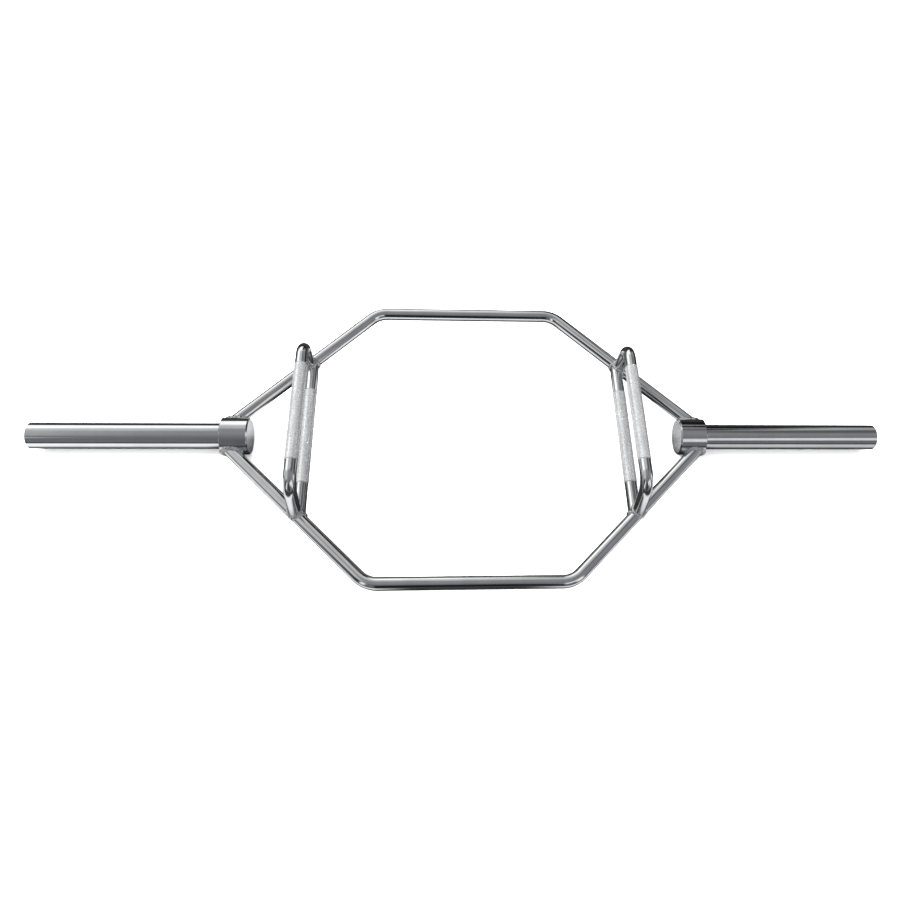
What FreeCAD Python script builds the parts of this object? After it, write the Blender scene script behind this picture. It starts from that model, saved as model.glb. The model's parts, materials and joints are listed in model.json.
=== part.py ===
import FreeCAD, Part
import math
import os
import Sketcher
from FreeCAD import Placement, Rotation, Vector

# Hex trap bar: a chromed steel weldment with a plate sleeve at each end and grips at two heights.
# X runs along the sleeves, Y from the front bar to the rear bar, Z up. The origin is on the floor
# under the middle of the hexagon, and the collars stand on the floor.

# Driving dimensions, in millimetres and degrees
driving_sizes = {
    # frame
    "frame_depth": 605,  # front bar to rear bar, axis to axis
    "front_straight": 375,  # front run between the corners where the axes cross
    "diagonal_angle": 45,  # diagonals to the sleeve axis
    "frame_bar_diameter": 25,
    "frame_bend_radius": 50,  # on the axis of the bar
    # collars, closed on the inner end and bored from the outer end
    "collar_diameter": 72,
    "collar_length": 53,
    "collar_floor": 8,  # closed end
    "face_chamfer": 2.5,  # edge of the inner face
    "collar_chamfer": 1,  # edge of the outer face
    "landing_inset": 31,  # inner face to the place where the axis of a frame bar lands
    # sleeves, with a thicker spigot in the collar and a plug in the outer end
    "sleeve_diameter": 50,
    "sleeve_wall": 5,
    "sleeve_reach": 359,  # length outside the collar
    "sleeve_chamfer": 1.5,
    "spigot_step": 1,  # how far the spigot stands out from the sleeve, all round
    "spigot_fit": 0.1,  # play in the collar, on the diameter
    "plug_thickness": 8,
    "plug_fit": 0.1,  # play in the sleeve, on the diameter
    # grips
    "grip_diameter": 24,  # plain ends
    "knurl_diameter": 25.4,
    "knurl_length": 210,
    "knurl_run_out": 1.2,  # slope at each end of the knurl
    "low_grip_spacing": 632,
    "raised_set_out": 6.5,  # raised handle outside its low grip, axis to axis
    "raised_height": 95,  # raised grip over the frame, axis to axis
    "raised_bend_radius": 32,  # on the axis of the bar
    "leg_lean": 9,  # legs of a raised handle, from the vertical
    # welds
    "weld_leg": 3,  # reach of the weld metal on each bar that it joins
}

# Places worked out from those, with X counted from the inner face of the collar for the end pieces
worked_out = {
    "middle": 0,
    "frame_radius": "=sizes.frame_bar_diameter / 2",
    "half_depth": "=sizes.frame_depth / 2",
    "slope": "=tan(sizes.diagonal_angle)",
    "apex_x": "=sizes.front_straight / 2 + half_depth / slope",
    "collar_radius": "=sizes.collar_diameter / 2",
    "collar_face_radius": "=collar_radius - sizes.face_chamfer",
    "collar_stop_radius": "=collar_radius - sizes.collar_chamfer",
    "collar_wall_end": "=sizes.collar_length - sizes.collar_chamfer",
    "inner_face_x": "=apex_x - collar_radius / slope - sizes.landing_inset",
    "axis_z": "=collar_radius",
    "sleeve_radius": "=sizes.sleeve_diameter / 2",
    "sleeve_bore_radius": "=sleeve_radius - sizes.sleeve_wall",
    "sleeve_edge_radius": "=sleeve_radius - sizes.sleeve_chamfer",
    "sleeve_end": "=sizes.collar_length + sizes.sleeve_reach",
    "sleeve_wall_end": "=sleeve_end - sizes.sleeve_chamfer",
    "spigot_radius": "=sleeve_radius + sizes.spigot_step",
    "collar_bore_radius": "=spigot_radius + sizes.spigot_fit / 2",
    "plug_radius": "=sleeve_bore_radius - sizes.plug_fit / 2",
    "plug_start": "=sleeve_end - sizes.plug_thickness",
    "grip_radius": "=sizes.grip_diameter / 2",
    "knurl_radius": "=sizes.knurl_diameter / 2",
    "half_knurl": "=sizes.knurl_length / 2",
    "half_crest": "=half_knurl - sizes.knurl_run_out",
    "low_grip_x": "=sizes.low_grip_spacing / 2",
    "low_grip_end": "=(apex_x - low_grip_x) * slope",
    "raised_x": "=low_grip_x + sizes.raised_set_out",
    "raised_z": "=axis_z + sizes.raised_height",
    "leg_fall": "=90 - sizes.leg_lean",
    "foot_y": "=(apex_x - raised_x) * slope",
    "collar_weld_radius": "=collar_radius + sizes.weld_leg",
    "frame_weld_radius": "=frame_radius + sizes.weld_leg",
    "grip_weld_radius": "=grip_radius + sizes.weld_leg",
}

doc = FreeCAD.newDocument("hex_trap_bar")


def fill_sheet(name, contents):
    sheet = doc.addObject("Spreadsheet::Sheet", name)
    for row, (alias, content) in enumerate(contents.items(), start=1):
        sheet.set(f"A{row}", alias)
        sheet.set(f"B{row}", str(content))
        sheet.setAlias(f"B{row}", alias)
    doc.recompute()
    return sheet


sizes = fill_sheet("sizes", driving_sizes)
places = fill_sheet("places", worked_out)


# A name with a minus in front stands for the same length the other way.
def sheet_of(name):
    return sizes if name.lstrip("-") in driving_sizes else places


def amount(name):
    held = sheet_of(name).get(name.lstrip("-"))
    return -held if name.startswith("-") else held


def follow(item, path, name):
    bare = name.lstrip("-")
    item.setExpression(path, name.replace(bare, f"{sheet_of(name).Name}.{bare}"))


def place(item, across, up, turn=0):
    item.Placement = Placement(Vector(), Rotation(Vector(0, 0, 1), turn))
    follow(item, "Placement.Base.x", across)
    follow(item, "Placement.Base.z", up)


def origin_plane(body, role):
    return next(item for item in body.Origin.OriginFeatures if item.Role == role)


def new_sketch(body, name, role):
    sketch = body.newObject("Sketcher::SketchObject", f"{body.Name}_{name}")
    sketch.AttachmentSupport = (origin_plane(body, role), [""])
    sketch.MapMode = "FlatFace"
    return sketch


def hold(sketch, kind, parts, name):
    held = math.radians(amount(name)) if kind == "Angle" else amount(name)
    index = sketch.addConstraint(Sketcher.Constraint(kind, *parts, held))
    follow(sketch, f"Constraints[{index}]", name)


def hold_point(sketch, element, end, across, up):
    sketch_origin = (-1, 1)
    hold(sketch, "DistanceX", (*sketch_origin, element, end), across)
    hold(sketch, "DistanceY", (*sketch_origin, element, end), up)


def draw_circle(sketch, across, up, radius):
    centre = Vector(amount(across), amount(up), 0)
    circle = sketch.addGeometry(Part.Circle(centre, Vector(0, 0, 1), amount(radius)))
    hold_point(sketch, circle, 3, across, up)
    hold(sketch, "Radius", (circle,), radius)


# A closed outline of straight sides through named corners
def draw_outline(sketch, corners):
    points = [Vector(amount(across), amount(up), 0) for across, up in corners]
    for start, end in zip(points, points[1:] + points[:1]):
        sketch.addGeometry(Part.LineSegment(start, end))
    for side, (across, up) in enumerate(corners):
        before = (side - 1) % len(corners)
        sketch.addConstraint(Sketcher.Constraint("Coincident", before, 2, side, 1))
        hold_point(sketch, side, 1, across, up)


# Half the axis of a bent bar: level from the middle, then a bend, then falling at an angle to its end
def draw_half_axis(sketch, start_up, end_across, end_up, fall, bend_radius):
    steep = math.radians(amount(fall))
    radius = amount(bend_radius)
    start = Vector(0, amount(start_up), 0)
    end = Vector(amount(end_across), amount(end_up), 0)
    along = Vector(math.cos(steep), -math.sin(steep), 0)
    corner = end - along * ((end.y - start.y) / along.y)
    setback = radius * math.tan(steep / 2)
    level_end = corner - Vector(setback, 0, 0)
    bend_circle = Part.Circle(level_end - Vector(0, radius, 0), Vector(0, 0, 1), radius)
    sketch.addGeometry(Part.LineSegment(start, level_end))
    sketch.addGeometry(Part.ArcOfCircle(bend_circle, math.pi / 2 - steep, math.pi / 2))
    sketch.addGeometry(Part.LineSegment(corner + along * setback, end))
    sketch.addConstraint(Sketcher.Constraint("Horizontal", 0))
    sketch.addConstraint(Sketcher.Constraint("Tangent", 0, 2, 1, 2))
    sketch.addConstraint(Sketcher.Constraint("Tangent", 1, 1, 2, 1))
    hold_point(sketch, 0, 1, "middle", start_up)
    hold_point(sketch, 2, 2, end_across, end_up)
    hold(sketch, "Radius", (1,), bend_radius)
    hold(sketch, "Angle", (2,), f"-{fall}")


# A round bar bent twice, swept along half its axis and mirrored in the plane of its section
def bent_bar(name, axis_role, section_role, half_axis, section_centre, radius):
    body = doc.addObject("PartDesign::Body", name)
    axis = new_sketch(body, "axis", axis_role)
    draw_half_axis(axis, *half_axis)
    section = new_sketch(body, "section", section_role)
    draw_circle(section, *section_centre, radius)
    half = body.newObject("PartDesign::AdditivePipe", f"{name}_half")
    half.Profile = section
    half.Spine = axis
    whole = body.newObject("PartDesign::Mirrored", f"{name}_whole")
    whole.Originals = [half]
    whole.MirrorPlane = (origin_plane(body, section_role), [""])
    body.Tip = whole
    return body


# Turn an outline about the level axis of its sketch
def turn_outline(body, name, role, corners):
    outline = new_sketch(body, f"{name}_outline", role)
    draw_outline(outline, corners)
    turned = body.newObject("PartDesign::Revolution", f"{body.Name}_{name}")
    turned.Profile = outline
    turned.ReferenceAxis = (outline, ["H_Axis"])
    turned.Angle = 360
    body.Tip = turned


def turned_piece(name, role, corners):
    body = doc.addObject("PartDesign::Body", name)
    turn_outline(body, "turned", role, corners)
    return body


def shared(name, first, second):
    common = doc.addObject("Part::MultiCommon", name)
    common.Shapes = [first, second]
    return common


def joined(name, pieces):
    fused = doc.addObject("Part::MultiFuse", name)
    fused.Shapes = pieces
    return fused


def trimmed(name, piece, cutters):
    for step, cutter in enumerate(cutters, start=1):
        cut = doc.addObject("Part::Cut", name if step == len(cutters) else f"{name}_step_{step}")
        cut.Base = piece
        cut.Tool = cutter
        piece = cut
    return piece


def frame_bar(name, radius):
    half_axis = ("half_depth", "apex_x", "middle", "diagonal_angle", "frame_bend_radius")
    return bent_bar(name, "XY_Plane", "YZ_Plane", half_axis, ("half_depth", "middle"), radius)


def handle_bar(name, radius):
    half_axis = ("middle", "foot_y", "-raised_height", "leg_fall", "raised_bend_radius")
    return bent_bar(name, "YZ_Plane", "XZ_Plane", half_axis, ("middle", "middle"), radius)


# Both ends of a frame bar are cut hollow to sit on the round of the collars.
def cope_for_collars(body):
    whole = body.Tip
    mouth = new_sketch(body, "cope", "YZ_Plane")
    draw_circle(mouth, "middle", "middle", "collar_radius")
    cope = body.newObject("PartDesign::Pocket", f"{body.Name}_coped")
    cope.Profile = mouth
    cope.Type = "ThroughAll"
    cope.SideType = "Symmetric"
    body.Tip = cope
    doc.recompute()
    if cope.Shape.Volume >= whole.Shape.Volume:
        raise RuntimeError(f"{body.Name}: the collar seats were not cut")


collar_outline = [
    ("middle", "middle"),
    ("middle", "collar_face_radius"),
    ("face_chamfer", "collar_radius"),
    ("collar_wall_end", "collar_radius"),
    ("collar_length", "collar_stop_radius"),
    ("collar_length", "collar_bore_radius"),
    ("collar_floor", "collar_bore_radius"),
    ("collar_floor", "middle"),
]
sleeve_outline = [
    ("collar_floor", "sleeve_bore_radius"),
    ("collar_floor", "spigot_radius"),
    ("collar_length", "spigot_radius"),
    ("collar_length", "sleeve_radius"),
    ("sleeve_wall_end", "sleeve_radius"),
    ("sleeve_end", "sleeve_edge_radius"),
    ("sleeve_end", "sleeve_bore_radius"),
]
plug_outline = [
    ("plug_start", "middle"),
    ("plug_start", "plug_radius"),
    ("sleeve_end", "plug_radius"),
    ("sleeve_end", "middle"),
]
collar_weld_outline = [
    ("face_chamfer", "collar_radius"),
    ("face_chamfer", "collar_weld_radius"),
    ("collar_wall_end", "collar_weld_radius"),
    ("collar_wall_end", "collar_radius"),
]
knurl_outline = [
    ("-half_knurl", "middle"),
    ("-half_knurl", "grip_radius"),
    ("-half_crest", "knurl_radius"),
    ("half_crest", "knurl_radius"),
    ("half_knurl", "grip_radius"),
    ("half_knurl", "middle"),
]
low_grip_outline = [
    ("-low_grip_end", "middle"),
    ("-low_grip_end", "grip_radius"),
    *knurl_outline[1:-1],
    ("low_grip_end", "grip_radius"),
    ("low_grip_end", "middle"),
]
low_grip_weld_outline = [
    ("-low_grip_end", "middle"),
    ("-low_grip_end", "grip_weld_radius"),
    ("low_grip_end", "grip_weld_radius"),
    ("low_grip_end", "middle"),
]
end_outlines = {
    "collar": collar_outline,
    "sleeve": sleeve_outline,
    "sleeve_plug": plug_outline,
}

sub_parts = []
frame_bars = {}
frame_weld_zones = {}
for end, turn in (("rear", 0), ("front", 180)):
    bar = frame_bar(f"{end}_frame_bar", "frame_radius")
    cope_for_collars(bar)
    place(bar, "middle", "axis_z", turn)
    frame_bars[end] = bar
    sub_parts.append(bar)
    frame_weld_zones[end] = frame_bar(f"{end}_weld_zone", "frame_weld_radius")
    place(frame_weld_zones[end], "middle", "axis_z", turn)

for side, sign, turn in (("right", "", 0), ("left", "-", 180)):
    for part, outline in end_outlines.items():
        piece = turned_piece(f"{side}_{part}", "XY_Plane", outline)
        place(piece, f"{sign}inner_face_x", "axis_z", turn)
        sub_parts.append(piece)
    collar_zone = turned_piece(f"{side}_collar_weld_zone", "XY_Plane", collar_weld_outline)
    place(collar_zone, f"{sign}inner_face_x", "axis_z", turn)

    grip_blank = turned_piece(f"{side}_low_grip_blank", "YZ_Plane", low_grip_outline)
    grip_zone = turned_piece(f"{side}_low_grip_zone", "YZ_Plane", low_grip_weld_outline)
    for piece in (grip_blank, grip_zone):
        place(piece, f"{sign}low_grip_x", "axis_z")
    low_grip = trimmed(f"{side}_low_grip", grip_blank, list(frame_bars.values()))

    handle_blank = handle_bar(f"{side}_raised_blank", "grip_radius")
    turn_outline(handle_blank, "knurl", "YZ_Plane", knurl_outline)
    handle_zone = handle_bar(f"{side}_raised_zone", "grip_weld_radius")
    for piece in (handle_blank, handle_zone):
        place(piece, f"{sign}raised_x", "raised_z")
    raised_handle = trimmed(f"{side}_raised_handle", handle_blank, [*frame_bars.values(), low_grip])
    sub_parts.extend([low_grip, raised_handle])

    # Weld metal fills the corners that lie within a weld leg of both bars.
    for end, bar in frame_bars.items():
        corner = f"{side}_{end}"
        bar_zone = frame_weld_zones[end]
        landing = shared(f"{corner}_landing", bar_zone, collar_zone)
        collar_weld = trimmed(f"{corner}_collar_weld", landing, [bar])
        grip_corner = shared(f"{corner}_grip_corner", bar_zone, grip_zone)
        foot_corner = shared(f"{corner}_foot_corner", bar_zone, handle_zone)
        bead = joined(f"{corner}_bead", [grip_corner, foot_corner])
        grip_weld = trimmed(f"{corner}_grip_weld", bead, [bar, low_grip, raised_handle])
        sub_parts.extend([collar_weld, grip_weld])

doc.recompute()
for item in doc.Objects:
    if "Invalid" in item.State or "Error" in item.State:
        raise RuntimeError(f"{item.Name}: {item.State}")
os.makedirs("parts", exist_ok=True)
for piece in sub_parts:
    piece.Label = piece.Name
    if piece.Shape.isNull() or not piece.Shape.isValid():
        raise RuntimeError(f"{piece.Name}: no valid shape")
    print(piece.Label, len(piece.Shape.Solids), round(piece.Shape.Volume), "mm3")
    piece.Shape.exportStep(f"parts/{piece.Label}.step")
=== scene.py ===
import bpy
import bmesh
import json
import math
from mathutils import Matrix, Vector, noise


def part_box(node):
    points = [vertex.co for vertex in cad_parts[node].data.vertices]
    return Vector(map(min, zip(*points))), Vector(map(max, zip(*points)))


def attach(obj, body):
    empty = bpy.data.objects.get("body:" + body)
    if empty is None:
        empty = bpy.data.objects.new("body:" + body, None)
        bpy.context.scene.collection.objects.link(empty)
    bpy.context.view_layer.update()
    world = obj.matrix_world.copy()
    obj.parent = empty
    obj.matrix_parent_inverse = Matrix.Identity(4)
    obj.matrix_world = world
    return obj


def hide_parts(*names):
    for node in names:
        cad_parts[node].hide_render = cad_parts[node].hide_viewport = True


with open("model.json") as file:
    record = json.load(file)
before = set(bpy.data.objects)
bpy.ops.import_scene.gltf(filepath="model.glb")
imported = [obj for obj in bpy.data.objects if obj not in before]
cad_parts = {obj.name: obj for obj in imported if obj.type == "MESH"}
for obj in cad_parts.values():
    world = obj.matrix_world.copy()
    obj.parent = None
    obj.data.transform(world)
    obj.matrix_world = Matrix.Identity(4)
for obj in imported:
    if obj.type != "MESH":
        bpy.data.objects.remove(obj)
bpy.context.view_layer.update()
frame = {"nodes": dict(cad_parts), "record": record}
print("frame loaded,", len(frame["nodes"]), "nodes")

# sizes that the solids and the record already hold, in metres
collarLow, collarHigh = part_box("right_collar")
barLow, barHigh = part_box("rear_frame_bar")
lowGripLow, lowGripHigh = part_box("right_low_grip")
raisedLow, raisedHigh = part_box("right_raised_handle")
mounts = {mount["name"]: mount for mount in frame["record"]["mounts"]}

axisZ = (collarLow.z + collarHigh.z) / 2
collarRadius = (collarHigh.z - collarLow.z) / 2
barRadius = (barHigh.z - barLow.z) / 2
halfDepth = barHigh.y - barRadius
crestRadius = (lowGripHigh.z - lowGripLow.z) / 2
lowGripX = (lowGripLow.x + lowGripHigh.x) / 2
raisedX = (raisedLow.x + raisedHigh.x) / 2
raisedZ = raisedHigh.z - crestRadius
sleeveRadius = mounts["right_sleeve"]["dims"]["r_mm"] / 1000
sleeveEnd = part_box("right_sleeve")[1].x
rightward = Vector((1, 0, 0))
rearward = Vector((0, 1, 0))
upward = Vector((0, 0, 1))
sides = {"left": -1, "right": 1}
ends = {"front": -1, "rear": 1}


# mesh work that several pieces share

def addObject(name, data):
    item = bpy.data.objects.new(name, data)
    bpy.context.scene.collection.objects.link(item)
    return item


def addMesh(name, bm, materials):
    mesh = bpy.data.meshes.new(name)
    bm.to_mesh(mesh)
    bm.free()
    for material in materials:
        mesh.materials.append(material)
    return addObject(name, mesh)


# a piece has the name of the node that it replaces, written as one word
def finishPiece(bm, materials, node):
    bmesh.ops.recalc_face_normals(bm, faces=bm.faces)
    first, *others = node.split("_")
    piece = addMesh(first + "".join(word.capitalize() for word in others), bm, materials)
    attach(piece, "root")
    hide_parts(node)


def addRing(bm, centre, inPlane, acrossPlane, radius, count):
    ring = []
    for step in range(count):
        angle = 2 * math.pi * step / count
        outward = inPlane * math.cos(angle) + acrossPlane * math.sin(angle)
        ring.append(bm.verts.new(centre + radius * outward))
    return ring


def bridgeRings(bm, first, second, materialIndex=0):
    count = len(first)
    for step in range(count):
        after = (step + 1) % count
        face = bm.faces.new((first[step], first[after], second[after], second[step]))
        face.smooth = True
        face.material_index = materialIndex


# distance along a straight line to the near side of a round bar
def reachToBar(point, direction, barPoint, barDirection, radius):
    lineAcross = direction - barDirection * direction.dot(barDirection)
    offset = point - barPoint
    offsetAcross = offset - barDirection * offset.dot(barDirection)
    squared = lineAcross.length_squared
    half = lineAcross.dot(offsetAcross)
    inside = half * half - squared * (offsetAcross.length_squared - radius * radius)
    if inside < 0:
        return None
    return (-half - math.sqrt(inside)) / squared


# where a line lands on the first of several bars, with the outward direction there
def landing(point, direction, bars):
    best = None
    for barPoint, barDirection, radius in bars:
        reach = reachToBar(point, direction, barPoint, barDirection, radius)
        if reach is not None and (best is None or reach < best[0]):
            spot = point + direction * reach
            offset = spot - barPoint
            outward = (offset - barDirection * offset.dot(barDirection)).normalized()
            best = (reach, spot, outward)
    return best[1:]


# run the last ring of a bar on to the bars that it is welded to, with a small overlap
def copeEnd(bm, ring, direction, bars, sink):
    lip = [bm.verts.new(landing(vert.co, direction, bars)[0] + direction * sink) for vert in ring]
    bridgeRings(bm, ring, lip)


# round the corners of an outline of (along, radius) points; a third number is the corner's rounding
def roundedOutline(corners, steps=6, hold=0.00008):
    outline = []
    for index, corner in enumerate(corners):
        rounding = corner[2] if len(corner) > 2 else 0
        here = Vector(corner[:2])
        if not rounding:
            outline.append((here, 0))
            continue
        before = (Vector(corners[index - 1][:2]) - here).normalized()
        after = (Vector(corners[index + 1][:2]) - here).normalized()
        half = before.angle(after) / 2
        setback = rounding / math.tan(half)
        centre = here + (before + after).normalized() * (rounding / math.sin(half))
        start = here + before * setback - centre
        finish = here + after * setback - centre
        outline.append((centre + start + before * hold, 0))
        for step in range(steps + 1):
            swing = start.lerp(finish, step / steps).normalized() * rounding
            outline.append((centre + swing, 1))
        outline.append((centre + finish + after * hold, 0))
    return outline


# turn an outline about the sleeve axis; side is 1 for the right end and -1 for the left
def turnOutline(outline, side, count):
    bm = bmesh.new()
    worn = bm.verts.layers.float.new("edge")
    previous = None
    for point, edge in outline:
        centre = Vector((side * point.x, 0, axisZ))
        if point.y == 0:
            ring = [bm.verts.new(centre)]
        else:
            ring = addRing(bm, centre, rearward, upward, point.y, count)
        for vert in ring:
            vert[worn] = edge
        if previous is not None:
            if len(previous) == 1 or len(ring) == 1:
                hub, rim = (previous[0], ring) if len(previous) == 1 else (ring[0], previous)
                for step in range(count):
                    face = bm.faces.new((hub, rim[step], rim[(step + 1) % count]))
                    face.smooth = True
            else:
                bridgeRings(bm, previous, ring)
        previous = ring
    return bm


# node work that several finishes share

floatSocket, colourSocket, vectorSocket = "NodeSocketFloat", "NodeSocketColor", "NodeSocketVector"


def newNode(tree, kind, settings=None, values=None):
    node = tree.nodes.new(kind)
    for name, setting in (settings or {}).items():
        setattr(node, name, setting)
    for name, value in (values or {}).items():
        node.inputs[name].default_value = value
    return node


def newGroup(name, inputs, outputs):
    tree = bpy.data.node_groups.new(name, "ShaderNodeTree")
    for socketName, (kind, value) in inputs.items():
        socket = tree.interface.new_socket(socketName, in_out="INPUT", socket_type=kind)
        if value is not None:
            socket.default_value = value
    for socketName, kind in outputs.items():
        tree.interface.new_socket(socketName, in_out="OUTPUT", socket_type=kind)
    return tree, tree.nodes.new("NodeGroupInput"), tree.nodes.new("NodeGroupOutput")


def placeGroup(tree, group, values):
    node = tree.nodes.new("ShaderNodeGroup")
    node.node_tree = group
    for name, value in values.items():
        node.inputs[name].default_value = value
    return node


# a socket takes either a link from another node or a plain value
def feed(tree, socket, value):
    if hasattr(value, "is_linked"):
        tree.links.new(value, socket)
    elif value is not None:
        socket.default_value = value


def calc(tree, operation, first, second=None):
    node = newNode(tree, "ShaderNodeMath", {"operation": operation})
    feed(tree, node.inputs[0], first)
    feed(tree, node.inputs[1], second)
    return node.outputs[0]


def mixColours(tree, share, first, second):
    node = newNode(tree, "ShaderNodeMix", {"data_type": "RGBA"})
    feed(tree, node.inputs[0], share)
    feed(tree, node.inputs[6], first)  # the colour sockets A and B
    feed(tree, node.inputs[7], second)
    return node.outputs[2]


def remap(tree, value, low, high, toLow, toHigh, style="LINEAR"):
    node = newNode(tree, "ShaderNodeMapRange", {"interpolation_type": style})
    for socket, given in zip(node.inputs, (value, low, high, toLow, toHigh)):
        feed(tree, socket, given)
    return node.outputs[0]


def fadeIn(tree, value, low, high):
    return remap(tree, value, low, high, 0.0, 1.0, "SMOOTHSTEP")


# a number that the mesh carries on its points
def readLayer(tree, name):
    return newNode(tree, "ShaderNodeAttribute", {"attribute_name": name}).outputs["Fac"]


def objectPlace(tree):
    return newNode(tree, "ShaderNodeTexCoord").outputs["Object"]


# surface effects as shader node groups

platingClouds = {
    "clouds": {"Detail": 5.0, "Roughness": 0.6, "Distortion": 0.4},
    "peel": {"Detail": 2.0, "Roughness": 0.45},
    "thickRange": (0.32, 0.68),  # of the clouds, from thin plating to thick
}


# thickness and clouding of the plating, with the faint orange peel of polished steel under it
def makePlatingGroup():
    tree, given, out = newGroup(
        "platingClouds",
        {
            "Cloud Scale": (floatSocket, 14.0),
            "Peel Scale": (floatSocket, 420.0),
            "Thin Colour": (colourSocket, (0.70, 0.71, 0.73, 1)),
            "Thick Colour": (colourSocket, (0.80, 0.81, 0.83, 1)),
            "Bright Roughness": (floatSocket, 0.05),
            "Dull Roughness": (floatSocket, 0.12),
        },
        {"Colour": colourSocket, "Roughness": floatSocket, "Height": floatSocket},
    )
    place = objectPlace(tree)
    clouds = newNode(tree, "ShaderNodeTexNoise", values=platingClouds["clouds"])
    peel = newNode(tree, "ShaderNodeTexNoise", values=platingClouds["peel"])
    for texture, scale in ((clouds, "Cloud Scale"), (peel, "Peel Scale")):
        tree.links.new(place, texture.inputs["Vector"])
        tree.links.new(given.outputs[scale], texture.inputs["Scale"])
    share = fadeIn(tree, clouds.outputs["Fac"], *platingClouds["thickRange"])
    colour = mixColours(tree, share, given.outputs["Thin Colour"], given.outputs["Thick Colour"])
    dull = remap(tree, share, 0.0, 1.0, given.outputs["Dull Roughness"], given.outputs["Bright Roughness"])
    tree.links.new(colour, out.inputs["Colour"])
    tree.links.new(dull, out.inputs["Roughness"])
    tree.links.new(peel.outputs["Fac"], out.inputs["Height"])
    return tree


drawnScuffs = {
    "lines": {"Scale": 1.0, "Detail": 3.0, "Roughness": 0.7},
    "lineRange": (0.58, 0.70),  # thin scuffs
    "streakRange": (0.36, 0.64),  # broad streaks
    "patches": {"Detail": 3.0},
    "patchRange": (0.42, 0.66),
}


# marks drawn out along one direction: sliding plates on the sleeves, cloth and hands on the bars
def makeScuffGroup():
    tree, given, out = newGroup(
        "drawnScuffs",
        {
            "Stretch": (vectorSocket, (12.0, 900.0, 900.0)),
            "Patch Scale": (floatSocket, 9.0),
            "Coverage": (floatSocket, 0.5),
        },
        {"Mask": floatSocket, "Streaks": floatSocket},
    )
    place = objectPlace(tree)
    drawn = newNode(tree, "ShaderNodeVectorMath", {"operation": "MULTIPLY"})
    tree.links.new(place, drawn.inputs[0])
    tree.links.new(given.outputs["Stretch"], drawn.inputs[1])
    lines = newNode(tree, "ShaderNodeTexNoise", values=drawnScuffs["lines"])
    tree.links.new(drawn.outputs[0], lines.inputs["Vector"])
    patches = newNode(tree, "ShaderNodeTexNoise", values=drawnScuffs["patches"])
    tree.links.new(place, patches.inputs["Vector"])
    tree.links.new(given.outputs["Patch Scale"], patches.inputs["Scale"])
    thin = fadeIn(tree, lines.outputs["Fac"], *drawnScuffs["lineRange"])
    patchy = fadeIn(tree, patches.outputs["Fac"], *drawnScuffs["patchRange"])
    covered = calc(tree, "MULTIPLY", calc(tree, "MULTIPLY", thin, patchy), given.outputs["Coverage"])
    streaks = fadeIn(tree, lines.outputs["Fac"], *drawnScuffs["streakRange"])
    tree.links.new(covered, out.inputs["Mask"])
    tree.links.new(streaks, out.inputs["Streaks"])
    return tree


turningMarks = {
    "perMetre": 2600.0,
    "lines": {"Scale": 1.0, "Detail": 3.0, "Roughness": 0.65},
    "dullRange": (0.35, 0.65),
    "squareRange": (0.9, 0.99),  # how square to the axis a face has to be
}


# turning marks left by a lathe tool on a face square to the sleeve axis
def makeTurningGroup():
    tree, given, out = newGroup(
        "turningMarks",
        {
            "Axis Height": (floatSocket, axisZ),
            "Marks Per Metre": (floatSocket, turningMarks["perMetre"]),
        },
        {"Height": floatSocket, "Mask": floatSocket},
    )
    place = newNode(tree, "ShaderNodeSeparateXYZ")
    tree.links.new(objectPlace(tree), place.inputs[0])
    rise = calc(tree, "SUBTRACT", place.outputs["Z"], given.outputs["Axis Height"])
    squares = [calc(tree, "POWER", offset, 2.0) for offset in (place.outputs["Y"], rise)]
    fromAxis = calc(tree, "SQRT", calc(tree, "ADD", *squares))
    marks = calc(tree, "MULTIPLY", fromAxis, given.outputs["Marks Per Metre"])
    lines = newNode(tree, "ShaderNodeTexNoise", {"noise_dimensions": "1D"}, turningMarks["lines"])
    tree.links.new(marks, lines.inputs["W"])
    normal = newNode(tree, "ShaderNodeSeparateXYZ")
    tree.links.new(newNode(tree, "ShaderNodeNewGeometry").outputs["True Normal"], normal.inputs[0])
    along = calc(tree, "ABSOLUTE", normal.outputs["X"])
    square = remap(tree, along, *turningMarks["squareRange"], 0.0, 1.0)
    dull = remap(tree, lines.outputs["Fac"], *turningMarks["dullRange"], 0.0, 1.0)
    tree.links.new(calc(tree, "MULTIPLY", lines.outputs["Fac"], square), out.inputs["Height"])
    tree.links.new(calc(tree, "MULTIPLY", dull, square), out.inputs["Mask"])
    return tree


platingGroup = makePlatingGroup()
scuffGroup = makeScuffGroup()
turningGroup = makeTurningGroup()
print("surface effects ready")


# finishes

def newMaterial(name, metal=1.0):
    material = bpy.data.materials.new(name)
    material.use_nodes = True
    tree = material.node_tree
    shader = tree.nodes["Principled BSDF"]
    shader.inputs["Metallic"].default_value = metal
    return material, tree, shader


def addBump(tree, shader, height, finish, kind):
    bump = newNode(tree, "ShaderNodeBump", values={
        "Strength": finish[kind + "Strength"],
        "Distance": finish[kind + "Depth"],
    })
    tree.links.new(height, bump.inputs["Height"])
    tree.links.new(bump.outputs["Normal"], shader.inputs["Normal"])


# a finish that leaves out one of these keeps the group's own value
def placePlating(tree, finish):
    keys = {
        "Cloud Scale": "cloudScale",
        "Peel Scale": "peelScale",
        "Thin Colour": "thinColour",
        "Thick Colour": "thickColour",
        "Bright Roughness": "brightRoughness",
        "Dull Roughness": "dullRoughness",
    }
    values = {name: finish[key] for name, key in keys.items() if key in finish}
    return placeGroup(tree, platingGroup, values)


def placeScuffs(tree, finish, kind):
    return placeGroup(tree, scuffGroup, {
        "Stretch": finish[kind + "Stretch"],
        "Patch Scale": finish[kind + "Patches"],
        "Coverage": finish[kind + "Coverage"],
    })


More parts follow.
